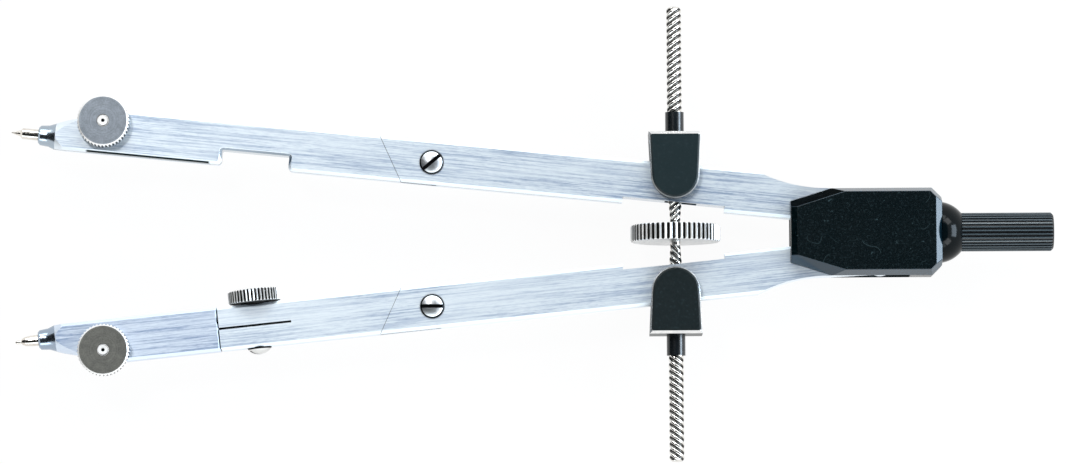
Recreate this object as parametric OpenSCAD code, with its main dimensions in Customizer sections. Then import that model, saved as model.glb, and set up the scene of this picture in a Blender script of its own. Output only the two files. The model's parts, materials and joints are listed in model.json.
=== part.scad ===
// Spring bow compass, lying flat: the handle points to +X, the legs to -X, the front faces +Z.
// Every piece is drawn in the mechanism's frame, which has the line of the two leg pivots at x = 0
// and the middle of the legs' thickness at z = 0. The last section moves it onto the table.

/* [Legs] */
// Width of a leg
leg_w = 7.1; // [6.4:0.1:8]
// Thickness of a leg
leg_t = 4.4; // [4.2:0.1:5.5]
// Chamfer along the long edges of a leg
leg_chamfer = 0.45; // [0.2:0.05:0.6]
// Angle of each leg to the axis as it lies, in degrees
leg_angle = 5.76; // [4:0.01:10]
// From a leg's pivot to the spindle, along the leg
pivot_to_spindle = 33.6; // [31:0.1:37]
// From a leg's pivot to its knee screw
pivot_to_knee = 73.5; // [65:0.1:80]
// From the pivot of leg B to the joint with its attachment
pivot_to_joint = 108.4; // [104:0.1:112]
// From a leg's pivot to the end of its turned nose
pivot_to_nose = 137.9; // [134:0.1:150]

/* [Leg roots] */
// Distance between the two leg pivots
pivot_spacing = 8.8; // [8.6:0.1:9.6]
// Diameter of the eye round each pivot
root_d = 5.2; // [4.8:0.1:5.6]
// Radius of the scoop that narrows the neck of a leg
neck_scoop_r = 24.4; // [20:0.1:30]
// From the pivot to the narrowest place of the neck
neck_at = 11.3; // [10:0.1:13]
// Half width of the neck there, on its outer side
neck_half_w = 1.75; // [1.4:0.05:2.2]
// Teeth that a whole circle of the root would have
root_teeth = 16; // [14:2:20]
// Play between meshing root teeth
tooth_play = 0.1; // [0.06:0.01:0.14]

/* [Head] */
// From the pivots to the end of the head where the legs come out
head_leg_len = 14.7; // [13:0.1:16]
// From the pivots to the end of the head that carries the handle
head_handle_len = 9.95; // [9.5:0.05:12]
// Width of the head
head_w = 14.3; // [14:0.1:16]
// Width of the head where the legs come out
head_mouth_w = 10.1; // [9:0.1:12]
// Length of the tapered sides
head_taper_len = 6.76; // [4:0.01:8]
// Size of the two cut corners at the handle
head_corner = 1.6; // [1:0.1:2.2]
// Thickness of each cover over the legs
cover_t = 2.75; // [2.2:0.05:3.5]
// How far the sides lean in towards the face
side_draft = 0.75; // [0.5:0.05:1]
// Inward lean of the tapered sides, from the joint to the face
taper_draft = 1.35; // [1:0.05:1.5]
// Width of the bevels at the two ends
end_bevel_w = 1.05; // [0.8:0.05:1.2]
// Height of the bevels at the two ends
end_bevel_h = 0.65; // [0.5:0.05:1.2]
// Length of the closed block at the handle end
end_block_len = 5.2; // [5:0.1:5.4]

/* [Pivot screws and spring] */
// Shoulder of the pivot screws
pivot_d = 3; // [2.6:0.1:3.2]
// Thread of the pivot screws
pivot_thread_d = 2.2; // [1.8:0.1:2.4]
// Head of the pivot screws
pivot_head_d = 4.6; // [4:0.1:4.8]
// Height of the pivot screws' heads
pivot_head_h = 1.1; // [0.9:0.1:1.4]
// Length of thread in the front cover
pivot_thread_len = 1.9; // [1.4:0.1:2.1]
// Spring post
post_d = 1; // [0.8:0.1:1]
// From the pivots to the spring post
post_at = 4; // [4:0.1:5]
// Thickness of the spring strip
spring_t = 0.25; // [0.2:0.05:0.25]
// Width of the spring strip
spring_w = 3; // [2.4:0.1:3.8]
// Length of the spring's arms
spring_arm = 8.6; // [7:0.1:9]

/* [Handle] */
// Length of the domed collar
collar_len = 3.25; // [3:0.05:3.4]
// Diameter of the collar at the head
collar_d = 10; // [9.2:0.1:10.4]
// Length of the grip
grip_len = 15; // [12:0.05:20]
// Diameter of the grip
grip_d = 6.3; // [5.6:0.1:6.5]
// Number of flutes round the grip
grip_flutes = 32; // [24:1:40]
// Depth of a flute
flute_depth = 0.28; // [0.2:0.02:0.4]
// Chamfer at the end of the grip
grip_chamfer = 0.4; // [0.2:0.1:0.6]
// Diameter of the stem inside the handle
stem_d = 3; // [2.4:0.1:3.4]
// Diameter of the stem's flange inside the head
stem_flange_d = 5.4; // [4.6:0.1:6]
// Thickness of the stem's flange
stem_flange_t = 1.2; // [1:0.1:1.4]
// How far the stem goes into the grip
stem_in_grip = 10.5; // [8:0.1:11]

/* [Knee joints] */
// Diameter of the knee screws
knee_d = 2.4; // [2:0.1:2.8]
// Diameter of the knee screws' heads
knee_head_d = 3.9; // [3.4:0.1:4.6]
// Height of the domed heads
knee_head_h = 0.75; // [0.5:0.05:1]
// Thickness of the tongue in the fork
tongue_t = 1.6; // [1.2:0.1:2]
// From the knee screw to the joint line, along the leg's middle
knee_line = 6.75; // [6.2:0.05:8]
// Slant of the joint line, in degrees
knee_slant = 30; // [26:1:34]
// Gap of the joint line
knee_gap = 0.08; // [0.06:0.01:0.2]

/* [Point holders] */
// Diameter of the needles
needle_d = 1.8; // [1.5:0.1:2]
// From the inner edge of a leg to its needle
needle_edge = 2.1; // [2:0.05:2.2]
// Length of needle inside a holder
needle_in = 21; // [18:0.5:23]
// How far needle A stands out of its nose
needle_a_out = 4.5; // [3:0.1:6]
// How far needle B stands out of its nose
needle_b_out = 3.8; // [3:0.1:4.2]
// Diameter of the turned nose at its end
nose_d = 3.2; // [3:0.1:3.6]
// Length of the turned nose
nose_len = 1.7; // [1.5:0.1:3]
// Slope of the flare behind the nose
flare_slope = 0.4; // [0.3:0.05:1]
// Length of the tapered outer side
holder_taper = 13.6; // [12:0.1:15]
// Width of the slits that let the holders clamp
slit_w = 0.45; // [0.3:0.05:0.6]
// Width of the slits in front of the clamp studs, where the jaws close
slit_tip_w = 0.15; // [0.1:0.05:0.25]
// Length of that narrow part
slit_tip_len = 7.9; // [7:0.1:8]
// Length of the slit in leg A
slit_a_len = 28.4; // [26:0.1:29]
// Length of the slit in the attachment
slit_b_len = 23; // [22:0.1:25]
// Metal that joins the two jaws of a holder at the outer edge
jaw_hinge_w = 0.95; // [0.7:0.05:0.95]

/* [Clamp knobs] */
// Diameter of the knurled knobs
knob_d = 8.6; // [8:0.1:9]
// Thickness of the clamp knobs
knob_t = 2.3; // [1.8:0.1:3]
// Thickness of the socket knob
socket_knob_t = 2.1; // [1.6:0.05:2.4]
// Number of knurls round a knob
knob_knurls = 44; // [30:2:56]
// Depth of the knurls on the knobs
knob_knurl_depth = 0.24; // [0.15:0.01:0.3]
// Width of the bevel round a knob's face
knob_bevel = 0.4; // [0.2:0.05:0.5]
// Diameter of the clamp studs
clamp_stud_d = 2; // [1.6:0.1:2.2]
// From the end of the nose back to the clamp stud
nose_to_clamp = 10.5; // [9:0.1:11.5]
// Metal left between a clamp stud's hole and the tapered side
clamp_wall = 0.2; // [0.15:0.05:0.3]
// Diameter of the stud's end in the middle of the knob
stud_pip_d = 1.6; // [1.2:0.1:1.8]

/* [Socket] */
// Diameter of the attachment's tongue
tongue_d = 2.6; // [2.2:0.1:2.8]
// Length of the tongue
tongue_len = 4.5; // [4:0.1:6]
// Diameter of the cross screw
cross_d = 2; // [1.6:0.1:2.2]
// Diameter of the cross screw's head
cross_head_d = 3.9; // [3.2:0.1:4.2]
// Height of the cross screw's head
cross_head_h = 1.1; // [0.8:0.1:1.4]
// Collar under the socket knob
knob_collar_h = 0.25; // [0.2:0.05:0.6]
// Length of the socket's slit
socket_slit_len = 11.7; // [10:0.1:13]
// Width of the socket's slit
socket_slit_w = 0.3; // [0.25:0.05:0.6]
// Radius of the socket's corners at the joint with the attachment
socket_corner_r = 0.4; // [0.3:0.05:0.6]
// Chamfer of the attachment's end at that joint
joint_chamfer = 0.3; // [0.2:0.05:0.4]
// Radius of the corners in the floor of the notch that clears the socket knob
notch_r = 0.25; // [0.2:0.05:0.6]
// Radius of the corners at the mouth of that notch
notch_mouth_r = 0.65; // [0.65:0.05:0.9]

/* [Adjusting screw] */
// Diameter over the spindle's thread
spindle_d = 2.5; // [2.3:0.05:2.6]
// Length of the spindle
spindle_len = 74.5; // [72:0.5:80]
// Diameter of the spindle's waist at the wheel
waist_d = 1.7; // [1.6:0.05:1.9]
// From the wheel's middle to where the waist begins to swell
waist_len = 2; // [1.8:0.1:3]
// From the wheel's middle to the full thread
thread_from = 7; // [5:0.1:8]
// Diameter of the centre wheel
wheel_d = 14.7; // [13:0.1:15.5]
// Thickness of the centre wheel
wheel_t = 2.7; // [2.4:0.1:3]
// Number of knurls round the wheel
wheel_knurls = 52; // [40:2:60]
// Depth of the wheel's knurls
wheel_knurl_depth = 0.3; // [0.2:0.05:0.5]
// Bevel at the wheel's rim
wheel_bevel = 0.25; // [0.15:0.05:0.4]
// Diameter of the stud that joins the two rods
join_stud_d = 0.9; // [0.7:0.05:1]
// Length of that stud
join_stud_len = 6; // [5:0.5:8]

/* [Nut saddles] */
// Width of a saddle at its outer end
saddle_w = 8.6; // [8:0.1:9]
// Width of a saddle at its rounded inner end
saddle_round_d = 7.9; // [7.2:0.1:8]
// From the trunnions out to the flat end
saddle_out = 8.75; // [8.6:0.05:10]
// From the trunnions in to the rounded end
saddle_in = 2.2; // [2:0.1:2.6]
// Thickness of each cheek of a saddle
cheek_t = 1.65; // [1.4:0.05:2]
// Bevel round a saddle's faces
saddle_bevel = 0.45; // [0.3:0.05:0.6]
// Diameter of the trunnion pins
trunnion_d = 2.4; // [2:0.1:2.6]
// Depth of a trunnion pin in its cheek
trunnion_in_cheek = 1.15; // [0.9:0.05:1.2]
// Outer diameter of the threaded bushes
bush_d = 3.05; // [2.95:0.05:3.3]
// How far a bush stands out of its saddle
bush_out = 3.4; // [2.5:0.1:3.5]
// Widest opening angle of each leg from the axis, in degrees
open_angle = 36; // [30:1:38]

/* [Hidden] */
$fn = 64;
// Radial clearance of a turning or sliding fit
run_clear = 0.03;
// Radial clearance of a fixed fit
seat_clear = 0.02;
// Clearance between faces that slide past each other
face_clear = 0.05;
// Room left where two legs or a leg and the wheel close on each other
close_clear = 0.4;
// Overshoot of a cutting shape
over = 1;
// Length of a cutting shape that only has to be long enough
far = 60;

leg_half_w = leg_w / 2;
leg_half_t = leg_t / 2;
root_r = root_d / 2;
pivot_r = pivot_spacing / 2;

// Root teeth: involute flanks on a circle of the pivots' half distance
tooth_module = pivot_spacing / root_teeth;
pressure_angle = 25;
tooth_tip_r = pivot_r + 0.9 * tooth_module;
tooth_root_r = pivot_r - 1.15 * tooth_module;
tooth_base_r = pivot_r * cos(pressure_angle);
tooth_pitch = 360 / root_teeth;
tooth_half = tooth_pitch / 4 - tooth_play / 4 / pivot_r * 180 / PI;
tooth_steps = 5;
// Places of the teeth on leg A, counted in pitches from the line of centres, and leg B's shift
tooth_places = [-1, 0, 1, 2];
tooth_shift_b = 0.5;
tooth_line = leg_angle - 90;

// Heights, measured from the middle of the legs
cover_in = leg_half_t + face_clear;
head_half_t = cover_in + cover_t;
cheek_in = leg_half_t + face_clear;
saddle_half_t = cheek_in + cheek_t;
knob_z = leg_half_t + face_clear;

// Places along a leg
needle_offset = leg_half_w - needle_edge;
taper_end = nose_d / 2 - needle_offset;
taper_at_clamp = taper_end + (leg_half_w - taper_end) * nose_to_clamp / holder_taper;
clamp_at = pivot_to_nose - nose_to_clamp;
clamp_offset = taper_at_clamp - clamp_wall - clamp_stud_d / 2 - run_clear;
socket_depth = tongue_len + close_clear;
cross_at = pivot_to_joint - socket_depth - cross_d / 2 - 0.3;
knob_stand = knob_collar_h + socket_knob_t;
notch_len = knob_d + 6 * close_clear;
notch_depth = knob_stand + face_clear;
recess_len = wheel_d + 5 * close_clear;
recess_depth = wheel_t / 2 + close_clear - (pivot_r - leg_half_w);

// Spindle slot in the legs
slot_half_h = spindle_d / 2 + 0.25;
slot_half_w = spindle_d / 2 + 0.2;
slot_angle = open_angle + 0.5;

// Handle stations along X
collar_x = head_handle_len + seat_clear;
collar_end_r = grip_d / 2 + 0.05;
// The collar's dome is part of a ball whose middle lies inside the head
collar_sink = (collar_d * collar_d / 4 - collar_end_r * collar_end_r - collar_len * collar_len) / (2 * collar_len);
collar_ball_r = sqrt(collar_d * collar_d / 4 + collar_sink * collar_sink);
grip_x = collar_x + collar_len + seat_clear;
grip_end_x = grip_x + grip_len;
block_x = head_handle_len - end_block_len;
flange_x = block_x + 1.1;

// Places in the mechanism's frame
leg_cos = cos(leg_angle);
leg_sin = sin(leg_angle);
spindle_x = -pivot_to_spindle * leg_cos;
nut_y = pivot_r + pivot_to_spindle * leg_sin;
tip_a_x = -(pivot_to_nose + needle_a_out) * leg_cos - needle_offset * leg_sin;
tip_b_x = -(pivot_to_nose + needle_b_out) * leg_cos - needle_offset * leg_sin;
part_mid_x = (grip_end_x + min(tip_a_x, tip_b_x)) / 2;
table_z = max(wheel_d / 2, head_half_t, saddle_half_t, knob_d / 2);

steel = [0.83, 0.87, 0.92];
bright = [0.9, 0.9, 0.88];
knob_grey = [0.55, 0.57, 0.6];
black = [0.1, 0.12, 0.13];
gloss_black = [0.04, 0.05, 0.06];
grip_black = [0.2, 0.23, 0.25];
brass = [0.8, 0.72, 0.5];

// Frames

// The table's frame: origin under the middle of the part
module on_table() {
    translate([-part_mid_x, 0, table_z]) children();
}

// A leg's own frame: pivot at the origin, the leg along -X, its outer side towards +Y
module on_leg_a() {
    on_table() translate([0, pivot_r, 0]) rotate([0, 0, -leg_angle]) children();
}

module on_leg_b() {
    on_table() mirror([0, 1, 0]) translate([0, pivot_r, 0]) rotate([0, 0, -leg_angle]) children();
}

// A nut's own frame: trunnions at the origin, the outer end towards +Y
module on_nut_a() {
    on_table() translate([spindle_x, nut_y, 0]) children();
}

module on_nut_b() {
    on_table() mirror([0, 1, 0]) translate([spindle_x, nut_y, 0]) children();
}

// The spindle's frame: the wheel's middle at the origin, the rods along Y
module on_spindle() {
    on_table() translate([spindle_x, 0, 0]) children();
}

// Shared shapes

// Turns a shape that stands along +Z so that it lies along -X, as a leg does
module along_leg(from = 0) {
    translate([-from, 0, 0]) rotate([0, -90, 0]) children();
}

// Flat bar with chamfered long edges, from one distance along the leg to another
module leg_bar(from, to) {
    t = leg_half_t;
    w = leg_half_w;
    c = leg_chamfer;
    along_leg(from)
        linear_extrude(to - from)
            polygon([
                [t - c, w], [t, w - c], [t, c - w], [t - c, -w],
                [c - t, -w], [-t, c - w], [-t, w - c], [c - t, w]
            ]);
}

// Outline with n straight V-shaped knurls
function knurl_outline(r, depth, n) = [
    for (i = [0:2 * n - 1])
        (i % 2 == 0 ? r : r - depth) * [cos(i * 180 / n), sin(i * 180 / n)]
];

// Outline with n flutes: four points for each, two on the land and two on the flute's floor
function flute_outline(r, depth, n) = [
    for (i = [0:n - 1], k = [0:3])
        let (
            a = (i + [-0.3, -0.14, 0.14, 0.3][k]) * 360 / n,
            rk = k == 0 || k == 3 ? r - depth : r
        )
        rk * [cos(a), sin(a)]
];

// Knurled disc standing on z = 0, with bevelled rims
module knurled_disc(r, t, depth, n, bevel_low, bevel_high) {
    intersection() {
        linear_extrude(t) polygon(knurl_outline(r, depth, n));
        rotate_extrude()
            polygon([
                [0, 0], [r - bevel_low, 0], [r + over, bevel_low + over],
                [r + over, t - bevel_high - over], [r - bevel_high, t], [0, t]
            ]);
    }
}

// Domed screw head of height h standing on z = 0, with a slot across it at an angle
module slotted_dome(d, h, slot_angle) {
    rim = 0.15;
    slot_width = 0.16 * d;
    slot_deep = 0.6 * h;
    ball_r = (d * d / 4 + (h - rim) * (h - rim)) / (2 * (h - rim));
    difference() {
        intersection() {
            cylinder(d = d, h = h);
            translate([0, 0, h - ball_r]) sphere(ball_r, $fn = 128);
        }
        rotate([0, 0, slot_angle])
            translate([-d, -slot_width / 2, h - slot_deep])
                cube([2 * d, slot_width, h]);
    }
}

// Long cutter that bevels an edge running along X through the origin, at 45 degrees
module edge_cutter(size, len) {
    side = size * sqrt(2);
    rotate([45, 0, 0]) cube([len, side, side], center = true);
}

// Leg roots

function involute_angle(a) = tan(a) * 180 / PI - a;

function flank_angle(r) =
    tooth_half + involute_angle(pressure_angle) - involute_angle(acos(min(1, tooth_base_r / r)));

// Outline of one tooth that points at an angle from the pivot, root to tip to root
function tooth_outline(angle) = let (
    foot = flank_angle(tooth_base_r),
    radii = [
        for (i = [0:tooth_steps])
            tooth_base_r + (tooth_tip_r - tooth_base_r) * i / tooth_steps
    ]
) concat(
    [tooth_root_r * [cos(angle - foot), sin(angle - foot)]],
    [for (r = radii) r * [cos(angle - flank_angle(r)), sin(angle - flank_angle(r))]],
    [
        for (i = [tooth_steps:-1:0])
            let (r = radii[i])
            r * [cos(angle + flank_angle(r)), sin(angle + flank_angle(r))]
    ],
    [tooth_root_r * [cos(angle + foot), sin(angle + foot)]]
);

// Toothed sector that meshes with the other leg's, shifted by a share of the pitch
module toothed_root(shift) {
    first = tooth_line + (tooth_places[0] + shift - 0.5) * tooth_pitch;
    last = tooth_line + (tooth_places[3] + shift + 0.5) * tooth_pitch;
    cylinder(r = root_r, h = leg_t, center = true);
    linear_extrude(leg_t, center = true)
        polygon(concat(
            [[0, 0], tooth_root_r * [cos(first), sin(first)]],
            [for (place = tooth_places) each tooth_outline(tooth_line + (place + shift) * tooth_pitch)],
            [tooth_root_r * [cos(last), sin(last)]]
        ));
}

// What the neck leaves out on its outer side: the scoop and the slope back to the eye
module neck_cut() {
    translate([-neck_at, neck_half_w + neck_scoop_r, 0])
        cylinder(r = neck_scoop_r, h = leg_t + 2 * over, center = true, $fn = 200);
    linear_extrude(leg_t + 2 * over, center = true)
        polygon([
            [-neck_at, neck_half_w], [over, root_r - 0.2], [over, leg_w], [-neck_at, leg_w]
        ]);
}

// Knee joints

// Everything on the far side of the slanted joint line, moved along the leg by a gap
module beyond_knee(gap) {
    translate([-pivot_to_knee - knee_line - gap, 0, 0])
        rotate([0, 0, knee_slant])
            translate([-far, -far, -far]) cube([far, 2 * far, 2 * far]);
}

// Slot of the fork, open past the joint line
module fork_slot() {
    slot_t = tongue_t + 2 * run_clear;
    translate([-pivot_to_knee, 0, 0]) {
        cylinder(r = leg_half_w + 0.15, h = slot_t, center = true);
        translate([-far / 2, 0, 0]) cube([far, leg_w + 2 * over, slot_t], center = true);
    }
}

// Tongue round the knee screw, in one piece with a lower leg
module knee_tongue() {
    length = knee_line + 3;
    intersection() {
        union() {
            cylinder(r = leg_half_w - 0.05, h = tongue_t, center = true);
            translate([-length / 2, 0, 0]) cube([length, leg_w - 0.1, tongue_t], center = true);
        }
        cube([3 * length, leg_w - 0.1, leg_t], center = true);
    }
}

module knee_bore(clear) {
    translate([-pivot_to_knee, 0, 0]) cylinder(d = knee_d + 2 * clear, h = leg_t + 2 * over, center = true);
}

module knee_screw(slot_angle) {
    translate([-pivot_to_knee, 0, -leg_half_t])
        cylinder(d = knee_d, h = leg_t + seat_clear);
    translate([-pivot_to_knee, 0, leg_half_t + seat_clear])
        slotted_dome(knee_head_d, knee_head_h, slot_angle);
}

// Upper legs

// Slot that lets the spindle tilt from square to the leg to the widest opening
module spindle_slot() {
    w = slot_half_w;
    side = w / cos(slot_angle);
    slope = tan(slot_angle);
    reach = leg_half_w + over;
    turn = (side - w) / slope;
    translate([-pivot_to_spindle, 0, 0])
        linear_extrude(2 * slot_half_h, center = true)
            polygon([
                [w, reach], [-side - reach * slope, reach], [-w, -turn],
                [-w, -reach], [side + reach * slope, -reach], [w, turn]
            ]);
}

module wheel_recess() {
    translate([-pivot_to_spindle, -leg_half_w + recess_depth - leg_w / 2, 0])
        cube([recess_len, leg_w, leg_t + 2 * over], center = true);
}

module upper_leg(tooth_shift) {
    difference() {
        union() {
            difference() {
                leg_bar(0, pivot_to_knee + knee_line + leg_w);
                neck_cut();
                beyond_knee(0);
            }
            toothed_root(tooth_shift);
        }
        cylinder(d = pivot_d + 2 * run_clear, h = leg_t + 2 * over, center = true);
        spindle_slot();
        wheel_recess();
        translate([-pivot_to_spindle, 0, 0])
            cylinder(d = trunnion_d + 2 * run_clear, h = leg_t + 2 * over, center = true);
        fork_slot();
        knee_bore(seat_clear);
    }
}

// Lower legs and point holders

// Body of revolution about the needle: round nose, then a flare that runs out past the bar
module turned_nose(from) {
    nose_r = nose_d / 2;
    back_r = nose_r + 0.15;
    full_r = leg_half_w + needle_offset + leg_half_t;
    flare_from = pivot_to_nose - nose_len;
    round_end = 0.3;
    translate([0, -needle_offset, 0])
        along_leg()
            rotate_extrude()
                polygon([
                    [0, from - over], [full_r, from - over], [full_r, flare_from - (full_r - back_r) / flare_slope],
                    [back_r, flare_from], [nose_r, pivot_to_nose - round_end],
                    [nose_r - round_end, pivot_to_nose], [0, pivot_to_nose]
                ]);
}

// End of a leg that clamps a needle, as a solid bar from one place along the leg to the nose
module holder_bar(from) {
    taper_from = pivot_to_nose - holder_taper;
    difference() {
        intersection() {
            leg_bar(from, pivot_to_nose);
            turned_nose(from);
        }
        linear_extrude(leg_t + 2 * over, center = true)
            polygon([
                [-taper_from, leg_half_w], [-pivot_to_nose, taper_end],
                [-pivot_to_nose - over, taper_end], [-pivot_to_nose - over, leg_w], [-taper_from, leg_w]
            ]);
    }
}

// Bore, slit and clamp hole of a point holder
module holder_cuts(slit_len) {
    slit_top = leg_half_w - jaw_hinge_w;
    translate([-pivot_to_nose - over, -leg_w, -slit_tip_w / 2])
        cube([slit_tip_len + 2 * over, leg_w + slit_top, slit_tip_w]);
    translate([slit_tip_len - pivot_to_nose, -leg_w, -slit_w / 2])
        cube([slit_len - slit_tip_len, leg_w + slit_top, slit_w]);
    translate([0, -needle_offset, 0])
        along_leg(pivot_to_nose - needle_in - face_clear)
            cylinder(d = needle_d + 2 * run_clear, h = needle_in + 2 * over);
    translate([-clamp_at, clamp_offset, 0])
        cylinder(d = clamp_stud_d + 2 * run_clear, h = leg_t + 2 * over, center = true);
}

// Section of a cut with its wall at y = 0: the leg's chamfer widens it at both faces
cut_section = [
    [-leg_w, -leg_half_t - over], [leg_chamfer + over, -leg_half_t - over], [0, leg_chamfer - leg_half_t],
    [0, leg_half_t - leg_chamfer], [leg_chamfer + over, leg_half_t + over], [-leg_w, leg_half_t + over]
];

// Straight cut of a length along X, with its chamfered wall towards +Y
module chamfered_cut(len) {
    rotate([90, 0, 90]) linear_extrude(len, center = true) polygon(cut_section);
}

// Round cut with chamfered rims
module chamfered_well(r) {
    wide = r + leg_chamfer + over;
    rotate_extrude()
        polygon([
            [0, -leg_half_t - over], [wide, -leg_half_t - over], [r, leg_chamfer - leg_half_t],
            [r, leg_half_t - leg_chamfer], [wide, leg_half_t + over], [0, leg_half_t + over]
        ]);
}

// What a round takes off a square corner at the origin, with metal towards +X and +Y and chamfered rims
module corner_round(r, chamfer) {
    edge_z = leg_half_t - chamfer;
    difference() {
        translate([-over, -over, -leg_t]) cube([r + over, r + over, 2 * leg_t]);
        translate([r, r, 0]) rotate_extrude() polygon([[0, -edge_z - r], [r, -edge_z], [r, edge_z], [0, edge_z + r]]);
    }
}

// Notch in leg A that clears the socket knob of leg B when the legs close
module knob_notch() {
    half = notch_len / 2;
    r = notch_r;
    floor_y = notch_depth - leg_half_w;
    translate([-cross_at, 0, 0]) {
        translate([0, floor_y, 0]) chamfered_cut(notch_len - 2 * r);
        for (side = [0, 1]) {
            mirror([side, 0, 0]) {
                translate([half, floor_y - r - leg_w / 2, 0]) rotate([0, 0, -90]) chamfered_cut(leg_w);
                translate([half - r, floor_y - r, 0]) chamfered_well(r);
                translate([half, -leg_half_w, 0]) corner_round(notch_mouth_r, leg_chamfer);
            }
        }
    }
}

// The part of a lower leg past the joint line, with the tongue
module lower_start(to) {
    intersection() {
        leg_bar(pivot_to_knee, to);
        beyond_knee(knee_gap);
    }
    translate([-pivot_to_knee, 0, 0]) knee_tongue();
}

// Outline of a plain needle's point, past the end of the nose
function plain_point(out) = [
    [needle_d / 2, needle_in + out - 1.85],
    [0.5, needle_in + out - 1.5],
    [0.06, needle_in + out],
    [0, needle_in + out]
];

// Outline of a shouldered needle's point: a bullet nose with a thin pin
function shouldered_point(out) = let (
    shoulder = needle_in + out - 1.1,
    nose_from = needle_in + 0.2,
    pin_r = 0.29,
    shoulder_r = 0.5
) concat(
    [
        for (i = [0:5])
            let (s = i / 5)
            [shoulder_r + (needle_d / 2 - shoulder_r) * sqrt(1 - s * s), nose_from + (shoulder - nose_from) * s]
    ],
    [[pin_r, shoulder + 0.1], [pin_r, needle_in + out - 0.25], [0.1, needle_in + out], [0, needle_in + out]]
);

module turned_needle(point) {
    translate([0, -needle_offset, 0])
        along_leg(pivot_to_nose - needle_in)
            rotate_extrude()
                polygon(concat([[0, 0], [needle_d / 2 - 0.2, 0], [needle_d / 2, 0.2]], point));
}

module clamp_knob() {
    translate([-clamp_at, clamp_offset, knob_z])
        difference() {
            knurled_disc(knob_d / 2, knob_t, knob_knurl_depth, knob_knurls, 0.2, knob_bevel);
            translate([0, 0, -over]) cylinder(d = clamp_stud_d + 2 * seat_clear, h = knob_t + 2 * over);
        }
}

module clamp_stud() {
    body_h = leg_half_t + knob_z + knob_t - 0.2;
    pip_h = 0.35;
    dimple_d = 0.6;
    translate([-clamp_at, clamp_offset, -leg_half_t])
        difference() {
            union() {
                cylinder(d = clamp_stud_d, h = body_h);
                cylinder(d = stud_pip_d, h = body_h + pip_h);
            }
            translate([0, 0, body_h]) cylinder(d = dimple_d, h = pip_h + over);
        }
}

// Nut saddles

// Room that the leg sweeps between the cheeks as the legs open
module leg_sweep() {
    half = leg_half_w + face_clear;
    height = 2 * cheek_in;
    cylinder(r = half, h = height, center = true);
    for (a = [0, -slot_angle]) {
        rotate([0, 0, a]) cube([far, 2 * half, height], center = true);
    }
}

module saddle_body() {
    round_r = saddle_round_d / 2;
    round_y = round_r - saddle_in;
    h = saddle_half_t;
    b = saddle_bevel;
    side_lean = atan((saddle_w - saddle_round_d) / 2 / (saddle_out - round_y));
    difference() {
        union() {
            linear_extrude(2 * h, center = true)
                polygon([
                    [-round_r, round_y], [round_r, round_y],
                    [saddle_w / 2, saddle_out], [-saddle_w / 2, saddle_out]
                ]);
            translate([0, round_y, 0])
                rotate_extrude()
                    polygon([[0, -h], [round_r - b, -h], [round_r, b - h], [round_r, h - b], [round_r - b, h], [0, h]]);
        }
        for (z = [-h, h]) {
            translate([0, saddle_out, z]) edge_cutter(b, far);
            for (side = [-1, 1]) {
                translate([side * round_r, round_y, z])
                    rotate([0, 0, 90 - side * side_lean])
                        translate([far / 2, 0, 0]) edge_cutter(b, far);
            }
        }
    }
}

module saddle() {
    difference() {
        saddle_body();
        leg_sweep();
        rotate([-90, 0, 0]) cylinder(d = bush_d + 2 * seat_clear, h = far);
        cylinder(d = trunnion_d + 2 * seat_clear, h = 2 * (cheek_in + trunnion_in_cheek), center = true);
    }
}

// Threaded bush, from clear of the sweeping leg to its nose outside the saddle
module bush() {
    start = (leg_half_w + face_clear) / cos(slot_angle) + bush_d / 2 * tan(slot_angle) + face_clear;
    len = saddle_out + bush_out - start;
    translate([0, start, 0])
        rotate([-90, 0, 0])
            difference() {
                cylinder(d = bush_d, h = len);
                translate([0, 0, -over]) cylinder(d = spindle_d + 2 * run_clear, h = len + 2 * over);
            }
}

module trunnions() {
    low = slot_half_h + 0.1;
    len = cheek_in + trunnion_in_cheek - seat_clear - low;
    for (side = [0, 1]) {
        mirror([0, 0, side]) translate([0, 0, low]) cylinder(d = trunnion_d, h = len);
    }
}

// Spindle

// One half of the spindle, standing along +Y from the wheel's middle
module half_rod() {
    end_y = spindle_len / 2;
    end_round = 0.6;
    r = spindle_d / 2;
    rotate([-90, 0, 0])
        difference() {
            rotate_extrude()
                polygon([
                    [0, seat_clear], [waist_d / 2, seat_clear], [waist_d / 2, waist_len],
                    [r, thread_from], [r, end_y - end_round], [r - end_round / 2, end_y - end_round / 4],
                    [r - end_round, end_y], [0, end_y]
                ]);
            cylinder(d = join_stud_d + 2 * run_clear, h = join_stud_len + 2 * face_clear, center = true);
        }
}

// Head

// Corners of the covers' outline, anticlockwise from the legs' end
head_outline = [
    [-head_leg_len, -head_mouth_w / 2],
    [head_taper_len - head_leg_len, -head_w / 2],
    [head_handle_len - head_corner, -head_w / 2],
    [head_handle_len, head_corner - head_w / 2],
    [head_handle_len, head_w / 2 - head_corner],
    [head_handle_len - head_corner, head_w / 2],
    [head_taper_len - head_leg_len, head_w / 2],
    [-head_leg_len, head_mouth_w / 2]
];

// Takes off the leaning side above the edge from p to q: lean over a height h, up to the face
module side_cut(p, q, lean, h) {
    edge = q - p;
    translate([p.x, p.y, head_half_t - h])
        rotate([0, 0, atan2(edge.y, edge.x)])
            rotate([-atan2(lean, h), 0, 0])
                translate([-far, -far, -far]) cube([2 * far, far, 2 * far]);
}

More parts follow.
